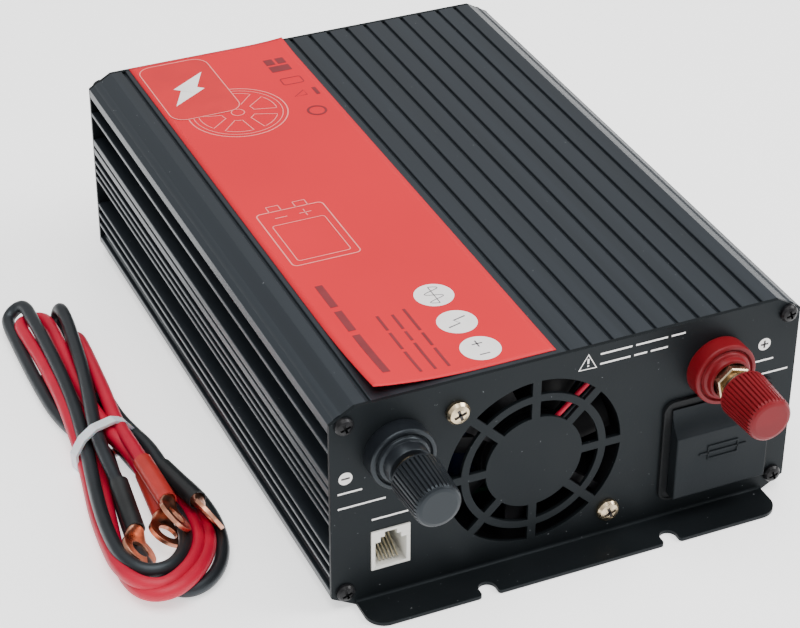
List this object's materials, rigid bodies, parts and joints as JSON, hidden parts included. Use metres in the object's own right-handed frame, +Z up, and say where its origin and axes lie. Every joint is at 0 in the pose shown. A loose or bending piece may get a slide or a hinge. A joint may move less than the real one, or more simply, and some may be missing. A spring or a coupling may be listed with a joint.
{
  "type": "power inverter",
  "caption": "Finned aluminium power inverter with screw battery terminals, fan grille, fuse box, remote socket, label and a tied pair of battery leads.",
  "frame": {"origin": "middle of the case's underside, in the plane it stands on", "axes": "+X to the right and +Y to the back as seen from the battery end, +Z up"},
  "size_m": [0.2062, 0.257, 0.0733],
  "materials": {
    "case_aluminium": "satin blue-grey anodised, extruded",
    "plate_aluminium": "mill finish",
    "panel_steel": "matte blue-grey powder coat",
    "black_screws": "black zinc",
    "fan_plastic": "matte",
    "zinc_steel": "bright zinc plate",
    "red_insulation": "soft gloss PVC",
    "black_insulation": "soft satin PVC",
    "black_terminal_plastic": "satin",
    "red_terminal_plastic": "satin",
    "brass": "turned",
    "insulator_plastic": "matte",
    "copper": "bare copper",
    "white_plastic": "satin",
    "gold_contacts": "plated",
    "black_plastic": "matte",
    "cover_plastic": "matte moulded",
    "fuse_plastic": "translucent",
    "earth_spring": "plated spring steel",
    "rocker_plastic": "gloss",
    "green_lens": "clear lens",
    "red_lens": "clear lens",
    "circuit_board": "solder mask",
    "ferrite": "ground ferrite",
    "winding_tape": "polyester tape",
    "capacitor_sleeve": "shrink sleeve",
    "label_film": "satin printed film",
    "black_sleeve": "satin shrink sleeve",
    "red_sleeve": "satin shrink sleeve",
    "tie_plastic": "milky nylon"
  },
  "bodies": {
    "case": {"ac_outlet": "black_plastic", "blade_fuses": "fuse_plastic", "board_screws": "zinc_steel", "board_standoffs": "zinc_steel", "bottom_plate": "plate_aluminium", "bus_capacitors": "capacitor_sleeve", "case_shell": "case_aluminium", "control_board": "circuit_board", "fan_frame": "fan_plastic", "fan_nuts": "zinc_steel", "fan_screws": "zinc_steel", "fan_wire_black": "black_insulation", "fan_wire_red": "red_insulation", "fault_led": "red_lens", "filter_core": "ferrite", "filter_winding": "copper", "front_panel": "panel_steel", "front_panel_screws": "black_screws", "fuse_holder": "black_plastic", "input_capacitors": "capacitor_sleeve", "main_board": "circuit_board", "neg_busbar": "copper", "neg_terminal_base": "black_terminal_plastic", "outlet_earth_clips": "earth_spring", "outlet_sleeves": "brass", "output_wires": "black_insulation", "pos_busbar": "copper", "pos_terminal_base": "red_terminal_plastic", "power_led": "green_lens", "power_switch": "black_plastic", "power_transistors": "black_plastic", "rear_panel": "panel_steel", "rear_panel_screws": "black_screws", "remote_jack": "white_plastic", "remote_jack_contacts": "gold_contacts", "terminal_bushes": "insulator_plastic", "terminal_nuts": "zinc_steel", "terminal_rear_nuts": "brass", "terminal_studs": "brass", "terminal_washers": "zinc_steel", "top_label": "label_film", "transformer_core": "ferrite", "transformer_winding": "winding_tape", "transistor_clamps": "earth_spring", "usb_port": "earth_spring"},
    "fan_rotor": {"fan_rotor": "fan_plastic"},
    "neg_washer": {"neg_clamp_washer": "zinc_steel"},
    "neg_knob": {"neg_knob": "black_terminal_plastic", "neg_knob_insert": "brass"},
    "pos_washer": {"pos_clamp_washer": "zinc_steel"},
    "pos_knob": {"pos_knob": "red_terminal_plastic", "pos_knob_insert": "brass"},
    "fuse_cover": {"fuse_cover": "cover_plastic"},
    "switch_rocker": {"switch_rocker": "rocker_plastic"},
    "battery_leads": {"lead_hank": "black_insulation", "black_lugs": "copper", "red_lugs": "copper", "black_sleeves": "black_sleeve", "red_sleeves": "red_sleeve", "lead_tie": "tie_plastic"}
  },
  "joints": [
    {"name": "fan_spin", "type": "hinge", "parent": "case", "child": "fan_rotor", "pos_m": [-0.0113, -0.098, 0.03465], "axis": [0, -1, 0], "continuous": true},
    {"name": "neg_screw_travel", "type": "slide", "parent": "case", "child": "neg_washer", "axis": [0, -1, 0], "range_m": [0, 0.013]},
    {"name": "neg_knob_turn", "type": "hinge", "parent": "neg_washer", "child": "neg_knob", "pos_m": [-0.0548, -0.13, 0.052], "axis": [0, -1, 0], "range_deg": [0, 4690]},
    {"name": "pos_screw_travel", "type": "slide", "parent": "case", "child": "pos_washer", "axis": [0, -1, 0], "range_m": [0, 0.013]},
    {"name": "pos_knob_turn", "type": "hinge", "parent": "pos_washer", "child": "pos_knob", "pos_m": [0.0478, -0.13, 0.052], "axis": [0, -1, 0], "range_deg": [0, 4690]},
    {"name": "fuse_cover_pull", "type": "slide", "parent": "case", "child": "fuse_cover", "axis": [0, -1, 0], "range_m": [0, 0.04]},
    {"name": "rocker_tilt", "type": "hinge", "parent": "case", "child": "switch_rocker", "pos_m": [-0.03, 0.1076, 0.047], "axis": [1, 0, 0], "range_deg": [-20, 0]},
    {"name": "leads_lift", "type": "slide", "parent": "case", "child": "battery_leads", "axis": [0, 0, 1], "range_m": [0, 0.1]}
  ],
  "couplings": [
    {"joint": "neg_knob_turn", "follows": "neg_screw_travel", "rad_per_m": 6283.2},
    {"joint": "pos_knob_turn", "follows": "pos_screw_travel", "rad_per_m": 6283.2}
  ]
}
